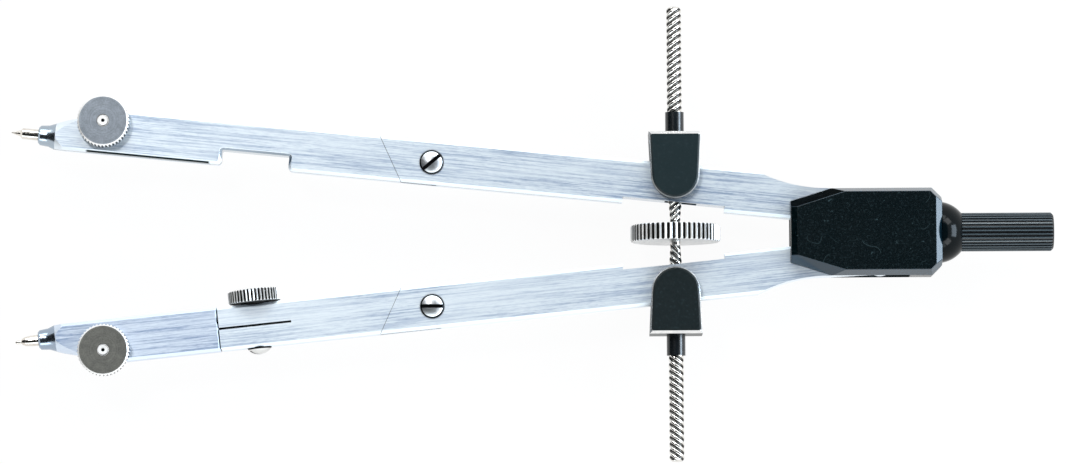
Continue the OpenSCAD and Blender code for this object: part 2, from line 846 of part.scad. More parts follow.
// Front cover without its holes; the rear cover is its mirror image
module cover_shell() {
    difference() {
        union() {
            translate([0, 0, cover_in]) linear_extrude(cover_t) polygon(head_outline);
            intersection() {
                translate([0, 0, seat_clear]) linear_extrude(head_half_t - cover_t) polygon(head_outline);
                translate([block_x, -head_w, -over]) cube([far, 2 * head_w, head_half_t]);
            }
        }
        for (i = [0:7]) {
            end = i == 3 || i == 7;
            taper = i == 0 || i == 6;
            lean = end ? end_bevel_w : taper ? taper_draft : side_draft;
            side_cut(head_outline[i], head_outline[(i + 1) % 8], lean, end ? end_bevel_h : cover_t);
        }
        stem_room();
        post_hole();
    }
}

// Room for the handle's stem and flange, shared by both covers
module stem_room() {
    translate([flange_x, 0, 0])
        rotate([0, 90, 0]) {
            cylinder(d = stem_d + 2 * seat_clear, h = far);
            translate([0, 0, -seat_clear])
                cylinder(d = stem_flange_d + 2 * seat_clear, h = stem_flange_t + 2 * seat_clear);
        }
}

module post_hole() {
    translate([-post_at, 0, 0])
        cylinder(d = post_d + 2 * seat_clear, h = 2 * cover_in + cover_t, center = true);
}

// One shoulder screw at y = 0, put in from the rear
module pivot_screw() {
    head_z = -head_half_t + 0.15;
    shoulder_z = head_z + pivot_head_h;
    slot_width = 0.7;
    slot_deep = 0.5;
    difference() {
        union() {
            translate([0, 0, head_z]) cylinder(d = pivot_head_d, h = pivot_head_h);
            translate([0, 0, shoulder_z]) cylinder(d = pivot_d, h = cover_in - shoulder_z - seat_clear);
            cylinder(d = pivot_thread_d, h = cover_in + pivot_thread_len);
        }
        translate([-pivot_head_d, -slot_width / 2, head_z - over])
            cube([2 * pivot_head_d, slot_width, slot_deep + over]);
    }
}

// Sub-parts

module head_front_cover() {
    color(black) on_table()
        difference() {
            cover_shell();
            for (y = [-pivot_r, pivot_r]) {
                translate([0, y, 0])
                    cylinder(d = pivot_thread_d + 2 * seat_clear, h = cover_in + pivot_thread_len + face_clear);
            }
        }
}

module head_rear_cover() {
    color(black) on_table()
        difference() {
            mirror([0, 0, 1]) cover_shell();
            for (y = [-pivot_r, pivot_r]) {
                translate([0, y, -far]) cylinder(d = pivot_d + 2 * seat_clear, h = far);
                translate([0, y, -head_half_t - over])
                    cylinder(d = pivot_head_d + 2 * seat_clear, h = pivot_head_h + 0.15 + over + seat_clear);
            }
        }
}

module leg_pivot_screw_a() {
    color(bright) on_table() translate([0, pivot_r, 0]) pivot_screw();
}

module leg_pivot_screw_b() {
    color(bright) on_table() translate([0, -pivot_r, 0]) pivot_screw();
}

module bow_spring() {
    bend_in = post_d / 2 + face_clear;
    bend_out = bend_in + spring_t;
    tip_x = -post_at - spring_arm;
    tip_y = pivot_r - tip_x * tan(leg_angle) - leg_half_w / leg_cos - face_clear;
    arm_angle = atan((tip_y - bend_out) / spring_arm);
    arm_len = spring_arm / cos(arm_angle);
    color(bright) on_table() translate([-post_at, 0, 0]) {
        difference() {
            cylinder(r = bend_out, h = spring_w, center = true);
            cylinder(r = bend_in, h = spring_w + over, center = true);
            translate([-far, -bend_in, -far]) cube([far, 2 * bend_in, 2 * far]);
            for (side = [-1, 1]) {
                rotate([0, 0, -side * arm_angle])
                    translate([-far, side > 0 ? 0 : -far, -far]) cube([far, far, 2 * far]);
            }
        }
        for (side = [-1, 1]) {
            rotate([0, 0, -side * arm_angle])
                translate([-arm_len, side * (bend_in + bend_out) / 2 - spring_t / 2, -spring_w / 2])
                    cube([arm_len, spring_t, spring_w]);
        }
    }
}

module spring_post() {
    color(bright) on_table() translate([-post_at, 0, 0])
        cylinder(d = post_d, h = 2 * cover_in + cover_t - 2 * seat_clear, center = true);
}

module handle_stem() {
    stem_end = grip_x + stem_in_grip;
    color(bright) on_table() translate([flange_x, 0, 0]) rotate([0, 90, 0]) {
        cylinder(d = stem_flange_d, h = stem_flange_t);
        cylinder(d = stem_d, h = stem_end - flange_x);
    }
}

module handle_collar() {
    color(gloss_black) on_table() translate([collar_x, 0, 0]) rotate([0, 90, 0])
        difference() {
            intersection() {
                translate([0, 0, -collar_sink]) sphere(collar_ball_r, $fn = 128);
                cylinder(d = 2 * collar_d, h = collar_len);
            }
            translate([0, 0, -over]) cylinder(d = stem_d + 2 * seat_clear, h = collar_len + 2 * over);
        }
}

module handle_grip() {
    r = grip_d / 2;
    c = grip_chamfer;
    color(grip_black) on_table() translate([grip_x, 0, 0]) rotate([0, 90, 0])
        difference() {
            intersection() {
                linear_extrude(grip_len) polygon(flute_outline(r, flute_depth, grip_flutes));
                rotate_extrude()
                    polygon([[0, 0], [r + over, 0], [r + over, grip_len - c - over], [r - c, grip_len], [0, grip_len]]);
            }
            translate([0, 0, -over])
                cylinder(d = stem_d + 2 * seat_clear, h = stem_in_grip + over + face_clear);
        }
}

module leg_a_upper() {
    color(steel) on_leg_a() upper_leg(0);
}

module leg_b_upper() {
    color(steel) on_leg_b() upper_leg(tooth_shift_b);
}

module knee_screw_a() {
    color(bright) on_leg_a() knee_screw(45);
}

module knee_screw_b() {
    color(bright) on_leg_b() knee_screw(leg_angle);
}

module leg_a_lower() {
    color(steel) on_leg_a()
        difference() {
            union() {
                lower_start(pivot_to_knee + 2 * knee_line);
                holder_bar(pivot_to_knee + 2 * knee_line - over);
            }
            knee_bore(run_clear);
            knob_notch();
            holder_cuts(slit_a_len);
        }
}

module leg_b_lower() {
    color(steel) on_leg_b()
        difference() {
            lower_start(pivot_to_joint);
            for (side = [0, 1]) {
                mirror([0, side, 0])
                    translate([-pivot_to_joint, -leg_half_w, 0]) corner_round(socket_corner_r, 0);
            }
            knee_bore(run_clear);
            along_leg(pivot_to_joint - socket_depth)
                cylinder(d = tongue_d + 2 * run_clear, h = socket_depth + over);
            translate([-pivot_to_joint - over, -socket_slit_w / 2, -leg_t])
                cube([socket_slit_len + over, socket_slit_w, 2 * leg_t]);
            translate([-cross_at, 0, 0])
                rotate([90, 0, 0]) cylinder(d = cross_d + 2 * seat_clear, h = 2 * leg_w, center = true);
        }
}

module socket_screw() {
    shank_end = leg_half_w + knob_stand - 0.3;
    color(bright) on_leg_b() translate([-cross_at, 0, 0]) rotate([-90, 0, 0]) {
        translate([0, 0, leg_half_w + seat_clear]) slotted_dome(cross_head_d, cross_head_h, 20);
        translate([0, 0, -shank_end]) cylinder(d = cross_d, h = shank_end + leg_half_w + seat_clear);
    }
}

module socket_knob() {
    collar_r = 2.3;
    color(knob_grey) on_leg_b() translate([-cross_at, -leg_half_w - face_clear, 0]) rotate([90, 0, 0])
        difference() {
            union() {
                cylinder(r = collar_r, h = knob_stand - face_clear);
                translate([0, 0, knob_collar_h])
                    knurled_disc(knob_d / 2, socket_knob_t - face_clear, knob_knurl_depth, knob_knurls, 0.2, 0.25);
            }
            translate([0, 0, -over]) cylinder(d = cross_d + 2 * run_clear, h = knob_stand + 2 * over);
        }
}

module attachment() {
    color(steel) on_leg_b()
        difference() {
            union() {
                holder_bar(pivot_to_joint + face_clear);
                along_leg(pivot_to_joint - tongue_len) cylinder(d = tongue_d, h = tongue_len + over);
            }
            for (z = [-leg_half_t, leg_half_t]) {
                translate([-pivot_to_joint - face_clear, 0, z])
                    rotate([0, 0, 90]) edge_cutter(joint_chamfer, 2 * leg_w);
            }
            holder_cuts(slit_b_len);
        }
}

module needle_a() {
    color(bright) on_leg_a() turned_needle(plain_point(needle_a_out));
}

module needle_b() {
    color(bright) on_leg_b() turned_needle(shouldered_point(needle_b_out));
}

module clamp_knob_a() {
    color(knob_grey) on_leg_a() clamp_knob();
}

module clamp_knob_b() {
    color(knob_grey) on_leg_b() clamp_knob();
}

module clamp_stud_a() {
    color(bright) on_leg_a() clamp_stud();
}

module clamp_stud_b() {
    color(bright) on_leg_b() clamp_stud();
}

module nut_a_block() {
    color(black) on_nut_a() saddle();
}

module nut_b_block() {
    color(black) on_nut_b() saddle();
}

module nut_a_bush() {
    color(gloss_black) on_nut_a() bush();
}

module nut_b_bush() {
    color(gloss_black) on_nut_b() bush();
}

module nut_a_trunnions() {
    color(bright) on_nut_a() trunnions();
}

module nut_b_trunnions() {
    color(bright) on_nut_b() trunnions();
}

module spindle_rod_a() {
    color(bright) on_spindle() half_rod();
}

module spindle_rod_b() {
    color(bright) on_spindle() mirror([0, 1, 0]) half_rod();
}

module spindle_joining_stud() {
    color(brass) on_spindle()
        rotate([90, 0, 0]) cylinder(d = join_stud_d, h = join_stud_len, center = true);
}

module adjusting_wheel() {
    color(knob_grey) on_spindle() rotate([-90, 0, 0]) rotate([0, 0, 90]) translate([0, 0, -wheel_t / 2])
        difference() {
            knurled_disc(wheel_d / 2, wheel_t, wheel_knurl_depth, wheel_knurls, wheel_bevel, wheel_bevel);
            translate([0, 0, -over]) cylinder(d = waist_d + 2 * seat_clear, h = wheel_t + 2 * over);
        }
}

head_front_cover();
head_rear_cover();
leg_pivot_screw_a();
leg_pivot_screw_b();
bow_spring();
spring_post();
handle_stem();
handle_collar();
handle_grip();
leg_a_upper();
knee_screw_a();
leg_a_lower();
needle_a();
clamp_knob_a();
clamp_stud_a();
leg_b_upper();
knee_screw_b();
leg_b_lower();
socket_screw();
socket_knob();
attachment();
needle_b();
clamp_knob_b();
clamp_stud_b();
nut_a_block();
nut_a_bush();
nut_a_trunnions();
nut_b_block();
nut_b_bush();
nut_b_trunnions();
spindle_rod_a();
spindle_rod_b();
spindle_joining_stud();
adjusting_wheel();
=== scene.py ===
"""Looks of the spring bow compass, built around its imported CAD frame."""

import json
import math

import bpy
from mathutils import Matrix, Vector


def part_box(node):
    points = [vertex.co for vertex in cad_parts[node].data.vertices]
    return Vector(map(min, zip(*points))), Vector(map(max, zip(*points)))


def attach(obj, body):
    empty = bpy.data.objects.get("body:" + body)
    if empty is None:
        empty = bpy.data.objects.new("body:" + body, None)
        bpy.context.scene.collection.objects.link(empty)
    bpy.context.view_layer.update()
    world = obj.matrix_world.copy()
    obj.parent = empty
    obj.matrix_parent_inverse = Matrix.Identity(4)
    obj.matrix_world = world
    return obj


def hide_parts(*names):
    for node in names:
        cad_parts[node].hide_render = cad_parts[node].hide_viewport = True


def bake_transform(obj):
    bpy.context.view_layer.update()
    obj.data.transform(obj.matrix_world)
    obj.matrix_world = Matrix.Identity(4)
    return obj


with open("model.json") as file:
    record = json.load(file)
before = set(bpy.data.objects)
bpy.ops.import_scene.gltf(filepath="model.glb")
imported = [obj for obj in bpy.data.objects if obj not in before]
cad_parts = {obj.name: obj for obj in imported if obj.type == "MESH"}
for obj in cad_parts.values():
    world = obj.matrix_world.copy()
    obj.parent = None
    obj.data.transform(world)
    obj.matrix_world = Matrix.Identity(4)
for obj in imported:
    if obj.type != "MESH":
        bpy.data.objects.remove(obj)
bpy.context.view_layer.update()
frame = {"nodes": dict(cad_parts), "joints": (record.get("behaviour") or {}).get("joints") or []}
nodes = frame["nodes"]
joints = {joint["name"]: joint for joint in frame["joints"]}
MM = 0.001
X, Y, Z = range(3)
# Leg A lies on the +Y side and leg B on the -Y side
SIDE = {"a": 1.0, "b": -1.0}


def joint_place(name):
    return Vector(joints[name]["pos_m"])


def centre_of(node):
    low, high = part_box(node)
    return (low + high) / 2


# Each leg's pivot and knee, its angle to the X axis, and how far along it the spindle is
PIVOT = {leg: joint_place("leg_" + leg + "_open") for leg in SIDE}
KNEE = {leg: joint_place("knee_" + leg + "_bend") for leg in SIDE}
to_spindle = joint_place("nut_a_swivel") - PIVOT["a"]
LEG_ANGLE = math.atan2(to_spindle.y, -to_spindle.x)
SPINDLE_ALONG = to_spindle.length


# Node helpers

# Masks that leave out the axis that a distance is measured from
ROUND_X = (0.0, 1.0, 1.0)
ROUND_Y = (1.0, 0.0, 1.0)
ROUND_Z = (1.0, 1.0, 0.0)
ROUND = (ROUND_X, ROUND_Y, ROUND_Z)
ONLY_Y = (0.0, 1.0, 0.0)

SHADER_INPUTS = {
    "base": "Base Color",
    "metallic": "Metallic",
    "roughness": "Roughness",
    "normal": "Normal",
    "specular": "Specular IOR Level",
    "anisotropic": "Anisotropic",
    "tangent": "Tangent",
}
CREVICE_SAMPLES = 6


class Graph:
    """A new material and a small builder for its node tree."""

    def __init__(self, name):
        self.material = bpy.data.materials.new(name)
        self.material.use_nodes = True
        self.tree = self.material.node_tree
        self.tree.nodes.clear()

    def node(self, kind, inputs=None, **settings):
        made = self.tree.nodes.new(kind)
        for key, value in settings.items():
            setattr(made, key, value)
        for key, value in (inputs or {}).items():
            self.put(made.inputs[key], value)
        return made

    def put(self, socket, value):
        if isinstance(value, bpy.types.NodeSocket):
            self.tree.links.new(value, socket)
        else:
            socket.default_value = value

    def math(self, operation, a, b=0.0, clamp=False):
        made = self.node("ShaderNodeMath", {0: a, 1: b}, operation=operation, use_clamp=clamp)
        return made.outputs[0]

    def times(self, first, *others):
        """Product of two or more values."""
        product = first
        for value in others:
            product = self.math("MULTIPLY", product, value)
        return product

    def plus(self, a, b):
        return self.math("ADD", a, b)

    def minus(self, a, b):
        return self.math("SUBTRACT", a, b)

    def larger(self, a, b):
        return self.math("MAXIMUM", a, b)

    def rest_of(self, share):
        """What a share leaves of 1."""
        return self.minus(1.0, share)

    def size_of(self, value):
        """A value without its sign."""
        return self.math("ABSOLUTE", value)

    def weighted(self, *terms):
        """Sum of values, each times its weight."""
        total = 0.0
        for value, weight in terms:
            total = self.plus(self.times(value, weight), total)
        return total

    def blend(self, share, a, b):
        """Value that goes from a to b as a share goes from 0 to 1."""
        return self.plus(self.times(self.rest_of(share), a), self.times(share, b))

    def uneven(self, noise, roughness):
        """Roughness that a noise varies a little."""
        return self.ramp(noise, 0.3, 0.7, roughness - 0.04, roughness + 0.05)

    def vector(self, operation, a, b):
        made = self.node("ShaderNodeVectorMath", {0: a, 1: tuple(b)}, operation=operation)
        return made.outputs["Vector"]

    def length(self, vector):
        return self.node("ShaderNodeVectorMath", {0: vector}, operation="LENGTH").outputs["Value"]

    def parts(self, vector):
        """X, Y and Z of a vector."""
        return self.node("ShaderNodeSeparateXYZ", {0: vector}).outputs

    def coords(self, rotation=(0, 0, 0), scale=(1, 1, 1), location=(0, 0, 0)):
        """Object coordinates from a place, turned first and then scaled."""
        source = self.node("ShaderNodeTexCoord").outputs["Object"]
        shifted = self.vector("SUBTRACT", source, location)
        turned = self.node("ShaderNodeMapping", {"Vector": shifted, "Rotation": rotation}).outputs[0]
        return self.node("ShaderNodeMapping", {"Vector": turned, "Scale": scale}).outputs[0]

    def noise(self, vector, scale=1.0, detail=2.0, roughness=0.5):
        inputs = {"Vector": vector, "Scale": scale, "Detail": detail, "Roughness": roughness}
        return self.node("ShaderNodeTexNoise", inputs).outputs["Fac"]

    def grain(self, scale, detail, roughness):
        """Noise that is alike in all directions."""
        return self.noise(self.coords(), scale, detail, roughness)

    def streaks(self, rotation, along, across, detail=2.0, roughness=0.6):
        """Noise with one scale along the turned X axis and another across it."""
        return self.noise(self.coords(rotation, (along, across, across)), 1.0, detail, roughness)

    def ramp(self, value, low, high, to_low=0.0, to_high=1.0):
        """Even change between two levels while a value goes from low to high, which may be the smaller."""
        inputs = {"Value": value, "From Min": low, "From Max": high, "To Min": to_low, "To Max": to_high}
        return self.node("ShaderNodeMapRange", inputs).outputs["Result"]

    def between(self, value, rise, fall):
        """1 from a value's rise to its fall, each given as where it starts and where it is complete."""
        return self.times(self.ramp(value, *rise), self.ramp(value, *fall))

    def stretch(self, value, ends, fade):
        """1 where a value lies between two ends, with a soft start and a soft end of given widths."""
        return self.between(value, (ends[0], ends[0] + fade[0]), (ends[1], ends[1] - fade[1]))

    def mix(self, share, a, b):
        made = self.node("ShaderNodeMix", {"Factor": share, "A": a, "B": b}, data_type="RGBA")
        return made.outputs["Result"]

    def normal(self):
        """X, Y and Z of the surface's normal, in the object's own frame."""
        return self.parts(self.node("ShaderNodeTexCoord").outputs["Normal"])

    def lean(self, axis):
        """Size of one part of the surface's normal."""
        return self.size_of(self.normal()[axis])

    def distance(self, centre, mask, turn=0.0):
        """Distance from a point, measured along the directions for which the mask is 1."""
        offset = self.coords((0, 0, turn), location=centre)
        return self.length(self.vector("MULTIPLY", offset, mask))

    def crevice(self, distance, low, high):
        """1 in narrow grooves and joint lines, 0 on open surfaces."""
        made = self.node("ShaderNodeAmbientOcclusion", {"Distance": distance}, samples=CREVICE_SAMPLES)
        return self.ramp(made.outputs["AO"], high, low)

    def bump(self, height, strength, distance):
        made = self.node("ShaderNodeBump", {"Height": height, "Strength": strength, "Distance": distance})
        return made.outputs["Normal"]

    def finish(self, shader):
        self.node("ShaderNodeOutputMaterial", {"Surface": shader})
        return self.material

    def principled(self, **inputs):
        named = {SHADER_INPUTS[key]: value for key, value in inputs.items()}
        return self.finish(self.node("ShaderNodeBsdfPrincipled", named).outputs["BSDF"])


def colour(r, g, b):
    return (r, g, b, 1.0)


def shaded(tint, r, g, b):
    """A colour with each of its parts times a share."""
    return colour(tint[0] * r, tint[1] * g, tint[2] * b)


# Materials

# Heights of the surface reliefs
GRAIN_HEIGHT = 0.03 * MM
RING_HEIGHT = 0.02 * MM
SCRATCH_HEIGHT = 0.01 * MM

# The needle's line runs beside the middle of its leg
NEEDLE_OFFSET = 1.45 * MM
# Edges on a leg, each given as where it starts and where it is complete
NOSE_EDGE = (2.17 * MM, 2.195 * MM)
INNER_EDGE = (3.26 * MM, 3.30 * MM)
SOCKET_EDGE = (0.19 * MM, 0.17 * MM)
# The darkening of joints, partly dirt and partly painted shade, starts this far from the spindle
JOINT_DARK_EDGE = (6.5 * MM, 7.5 * MM)
# Stretch of a leg over which its strokes grow stronger towards the head
HEADWARD = (75 * MM, 35 * MM)
# Soft widths at the two ends of a blackened place
SLIT_FADE = (0.3 * MM, 0.4 * MM)
STRIP_FADE = (0.08 * MM, 0.08 * MM)
SOCKET_FADE = (0.02 * MM, 0.02 * MM)


def brush_marks(g, rotation, strokes, fine):
    """Share of dark brush marks: strokes, hair lines and flecks, in patches."""
    clouds = g.streaks(rotation, along=50, across=260, roughness=0.5)
    flecks = g.streaks(rotation, along=900, across=5200)
    marks = g.weighted(
        (g.ramp(strokes, 0.46, 0.62), 0.62),
        (g.ramp(fine, 0.42, 0.72), 0.40),
        (g.ramp(flecks, 0.45, 0.70), 0.30),
    )
    return g.times(marks, g.ramp(clouds, 0.3, 0.65, 0.35, 1.0))


def across_leg(g, angle):
    """Direction across a leg, in the world's frame."""
    return g.node(
        "ShaderNodeVectorTransform",
        {"Vector": (math.sin(angle), math.cos(angle), 0.0)},
        vector_type="VECTOR",
        convert_from="OBJECT",
        convert_to="WORLD",
    ).outputs[0]


def brushed_steel(name, leg, tint, slit, shadow_heights, socket=None, contrast=1.0, near=1.6):
    """Satin plate with brush strokes along a leg; its turned nose is smoother and darker.

    The slit is the stretch along the leg where its clamp slit opens on the inner side, and the next
    argument gives the heights that are painted dark there as the slit's shadow. The socket is the stretch
    of a slit through the leg, whose walls are painted black as its shade. The strokes have one contrast
    towards the point and another, near, towards the head.
    """
    g = Graph(name)
    side = SIDE[leg]
    angle = side * LEG_ANGLE
    rotation = (0, 0, angle)
    at_pivot = g.coords(rotation, location=PIVOT[leg])
    place = g.parts(at_pivot)
    along = g.times(place[X], -1.0)
    # The turned nose is what lies close to the needle's line; the flat faces are further off
    from_needle = g.vector("SUBTRACT", at_pivot, (0.0, -side * NEEDLE_OFFSET, 0.0))
    off_nose = g.ramp(g.length(g.vector("MULTIPLY", from_needle, ROUND_X)), *NOSE_EDGE)
    on_nose = g.rest_of(off_nose)
    flat = g.times(g.ramp(g.lean(Z), 0.955, 0.99), off_nose)
    strokes = g.streaks(rotation, along=75, across=3600, detail=3.0)
    fine = g.streaks(rotation, along=260, across=9000)
    marks = g.times(brush_marks(g, rotation, strokes, fine), flat)
    marks = g.math("MULTIPLY", marks, g.ramp(along, *HEADWARD, contrast, near), clamp=True)
    base = g.mix(marks, tint, shaded(tint, 0.41, 0.48, 0.61))
    base = g.mix(on_nose, base, shaded(tint, 0.46, 0.50, 0.54))
    rough = g.plus(g.blend(on_nose, 0.46, 0.14), g.times(fine, 0.08))
    metallic = 1.0
    # Painted shadow: the inner side is painted dark along the clamp slit, where the slit's shadow falls
    inner = g.ramp(g.times(place[Y], -side), *INNER_EDGE)
    slit_shadow = g.times(g.stretch(along, slit, SLIT_FADE), g.stretch(place[Z], shadow_heights, STRIP_FADE))
    base = g.mix(g.times(inner, slit_shadow), base, colour(0.010, 0.018, 0.020))
    if socket:
        # Painted shade: the walls of the socket's slit are painted black and matt
        within = g.stretch(along, socket, SOCKET_FADE)
        socket_shade = g.times(within, g.ramp(g.size_of(place[Y]), *SOCKET_EDGE))
        base = g.mix(socket_shade, base, colour(0.004, 0.006, 0.008))
        rough = g.larger(rough, socket_shade)
        metallic = g.rest_of(socket_shade)
    # Joints are darkened, partly as dirt and partly as painted shade, but not round the spindle
    off_spindle = g.size_of(g.minus(along, SPINDLE_ALONG))
    dirt_and_shade = g.times(g.crevice(0.25 * MM, 0.45, 0.85), g.ramp(off_spindle, *JOINT_DARK_EDGE))
    base = g.mix(dirt_and_shade, base, colour(0.012, 0.015, 0.020))
    height = g.times(g.plus(strokes, g.times(fine, 0.6)), flat)
    return g.principled(
        base=base,
        metallic=metallic,
        roughness=rough,
        normal=g.bump(height, strength=0.25, distance=GRAIN_HEIGHT),
        anisotropic=0.4,
        tangent=across_leg(g, angle),
    )


def turned_steel(name, node, axis, tint, ring_strength, rim, knurl, turn=0.0, seat=None):
    """Steel with fine rings from the lathe, about an axis through a node's centre, and painted shade in its
    knurl.

    The rim is its outer radius and knurl the depth of its grooves. The turn lays its axis along the
    coordinate, and what lies further than seat below the centre on that axis is painted dark as its shade.
    """
    g = Graph(name)
    centre = centre_of(node)
    radius = g.distance(centre, ROUND[axis], turn)
    ring_place = g.node("ShaderNodeCombineXYZ", {"X": g.times(radius, 5200.0)}).outputs[0]
    rings = g.noise(ring_place, detail=3.0, roughness=0.7)
    clouds = g.grain(900.0, detail=3.0, roughness=0.6)
    mottle = g.grain(4200.0, detail=2.0, roughness=0.6)
    shade = g.weighted((rings, 0.55), (clouds, 0.3), (mottle, 0.3))
    face = g.mix(g.ramp(shade, 0.38, 0.66), tint, shaded(tint, 0.50, 0.51, 0.52))
    # Faces are matt from the lathe, the rim and its bevels bright
    lean = g.lean(axis)
    facing = g.ramp(lean, 0.9, 0.97)
    # Painted shade: the knurl's grooves are painted near black
    low_in_knurl = g.ramp(radius, rim - 0.40 * knurl, rim - 0.55 * knurl)
    groove = g.times(low_in_knurl, g.ramp(lean, 0.5, 0.3))
    knurled = g.mix(groove, colour(0.92, 0.92, 0.91), colour(0.010, 0.009, 0.008))
    # Crevices on the faces are darkened, partly as dirt and partly as painted shade
    dirt_and_shade = g.times(g.crevice(0.5 * MM, 0.3, 0.75), facing)
    base = g.mix(dirt_and_shade, g.mix(facing, knurled, face), colour(0.02, 0.02, 0.02))
    rough = g.blend(facing, 0.34, g.ramp(rings, 0.3, 0.7, 0.29, 0.41))
    metallic = g.blend(facing, 0.78, 1.0)
    if seat:
        # Painted shade: the face towards the leg is painted dark
        place = g.parts(g.coords((0, 0, turn), location=centre))
        seat_shade = g.ramp(place[axis], -seat, -seat - 0.06 * MM)
        base = g.mix(seat_shade, base, colour(0.006, 0.006, 0.007))
        rough = g.larger(rough, seat_shade)
        metallic = g.times(metallic, g.rest_of(seat_shade))
    normal = g.bump(g.times(rings, facing), strength=ring_strength, distance=RING_HEIGHT)
    return g.principled(base=base, metallic=metallic, roughness=rough, normal=normal)


def bright_steel(name, tint, roughness, scratch=0.15, joint=0.4 * MM, shade_masks=()):
    """Polished steel with faint scratches and a little cloudiness; joints get dirt and painted shade,
    masked places painted shade.
    """
    g = Graph(name)
    cloud = g.grain(700.0, detail=3.0, roughness=0.6)
    fine = g.streaks((0.3, 0.2, 0.5), along=900, across=6000)
    base = g.mix(g.ramp(cloud, 0.35, 0.75), tint, shaded(tint, 0.78, 0.77, 0.76))
    # Joints are darkened, partly as dirt and partly as painted shade
    base = g.mix(g.crevice(joint, 0.4, 0.8), base, colour(0.02, 0.02, 0.018))
    # Each masked place is painted dark as shade
    for mask in shade_masks:
        base = g.mix(mask(g), base, colour(0.010, 0.011, 0.012))
    normal = g.bump(fine, strength=scratch, distance=SCRATCH_HEIGHT)
    return g.principled(base=base, metallic=1.0, roughness=g.uneven(fine, roughness), normal=normal)


def beyond(point, radius):
    """Mask of what lies outside a radius round an upright axis."""
    return lambda g: g.ramp(g.distance(point, ROUND_Z), radius - 0.05 * MM, radius)


def inside(point, radius):
    """Mask of what lies inside a radius round an upright axis."""
    return lambda g: g.ramp(g.distance(point, ROUND_Z), radius, radius - 0.06 * MM)


def beside_line(point, angle, half):
    """Mask of what lies closer than half to an upright plane through a point, at an angle to the X axis."""
    return lambda g: g.ramp(g.distance(point, ONLY_Y, -angle), half, half - 0.05 * MM)


def specked(g, base, speck):
    """A colour with small pale specks, a few larger dots and hair scratches."""
    specks = g.grain(2600.0, detail=4.0, roughness=0.7)
    dots = g.grain(1500.0, detail=2.0, roughness=0.5)
    swirls = g.grain(210.0, detail=1.0, roughness=0.5)
    patches = g.grain(240.0, detail=1.0, roughness=0.5)
    mixed = g.mix(g.ramp(specks, 0.52, 0.72), base, speck)
    mixed = g.mix(g.ramp(dots, 0.715, 0.76), mixed, shaded(speck, 2.6, 2.3, 2.2))
    # Hair scratches: thin level lines of a wide noise, kept in a few patches
    hairs = g.ramp(g.size_of(g.minus(swirls, 0.52)), 0.006, 0.002)
    scratches = g.times(hairs, g.ramp(patches, 0.58, 0.64))
    return g.mix(scratches, mixed, shaded(speck, 2.2, 1.9, 1.8))


def head_facets(g):
    """Masks of the head's bevels, of those that get a painted reflection, and of its tapered side over leg
    A.
    """
    normal = g.normal()
    on_bevel = g.between(g.size_of(normal[Z]), (0.16, 0.22), (0.975, 0.92))
    # The bevel at the end towards the legs keeps the face's black as painted shade; the others get the
    # painted reflection
    sideways = g.ramp(g.size_of(normal[Y]), 0.20, 0.35)
    bevel_glint = g.times(on_bevel, g.larger(g.ramp(normal[X], -0.25, -0.10), sideways))
    # Painted dark reflection on the tapered side over leg A
    taper = g.times(g.ramp(normal[X], -0.15, -0.22), g.ramp(normal[Y], 0.60, 0.70))
    return on_bevel, bevel_glint, taper


def moulded_black(name, base, speck, roughness, grain, specular, bevel=None):
    """Black moulding with a fine grain and small pale specks.

    Where a colour for the bevels is given, as on the head, they are glossier and have it as a painted
    reflection, and the tapered side over leg A is matt and, as a metal of the base's black, reflects almost
    nothing, as a painted dark reflection.
    """
    g = Graph(name)
    height = g.grain(5200.0, detail=3.0, roughness=0.65)
    wear = g.grain(160.0, detail=3.0, roughness=0.6)
    surface = specked(g, base, speck)
    rough = g.plus(g.uneven(height, roughness), g.times(wear, 0.05))
    metallic = 0.0
    if bevel:
        on_bevel, bevel_glint, taper = head_facets(g)
        surface = g.mix(taper, g.mix(bevel_glint, surface, bevel), base)
        rough = g.larger(g.blend(on_bevel, rough, 0.14), taper)
        height = g.times(height, g.rest_of(on_bevel))
        metallic = taper
    normal = g.bump(height, strength=grain, distance=GRAIN_HEIGHT)
    return g.principled(base=surface, metallic=metallic, roughness=rough, specular=specular, normal=normal)


def anodised_black(name, node, base, speck, roughness, fade):
    """Black finish on metal whose outer edges were cut bright: a thin line, wider at the outer end.

    At the rounded end the line keeps only a share of its brightness, given by fade.
    """
    g = Graph(name)
    grain = g.grain(5200.0, detail=3.0, roughness=0.65)
    specks = g.grain(2200.0, detail=4.0, roughness=0.7)
    cuts = g.grain(1500.0, detail=2.0, roughness=0.5)
    bevel = g.between(g.lean(Z), (0.3, 0.45), (0.96, 0.88))
    low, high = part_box(node)
    half = (high.z - low.z) / 2
    rounded, outer = sorted((abs(low.y), abs(high.y)))
    place = g.parts(g.coords(location=(0, 0, low.z + half)))
    across, up = g.size_of(place[Y]), g.size_of(place[Z])
    line = g.ramp(up, half - 0.24 * MM, half - 0.29 * MM)
    line = g.times(line, g.ramp(across, rounded + 1.5 * MM, rounded + 6 * MM, fade, 1.0))
    end = g.ramp(across, outer - 0.60 * MM, outer - 0.50 * MM)
    cut = g.times(bevel, g.larger(line, end))
    black = g.mix(g.ramp(specks, 0.56, 0.72), base, speck)
    bright_cut = g.mix(g.ramp(cuts, 0.3, 0.7), colour(0.92, 0.92, 0.91), colour(0.78, 0.79, 0.80))
    rough = g.blend(cut, g.uneven(grain, roughness), 0.2)
    normal = g.bump(g.times(grain, g.rest_of(cut)), strength=0.3, distance=GRAIN_HEIGHT)
    return g.principled(base=g.mix(cut, black, bright_cut), metallic=cut, roughness=rough, normal=normal)


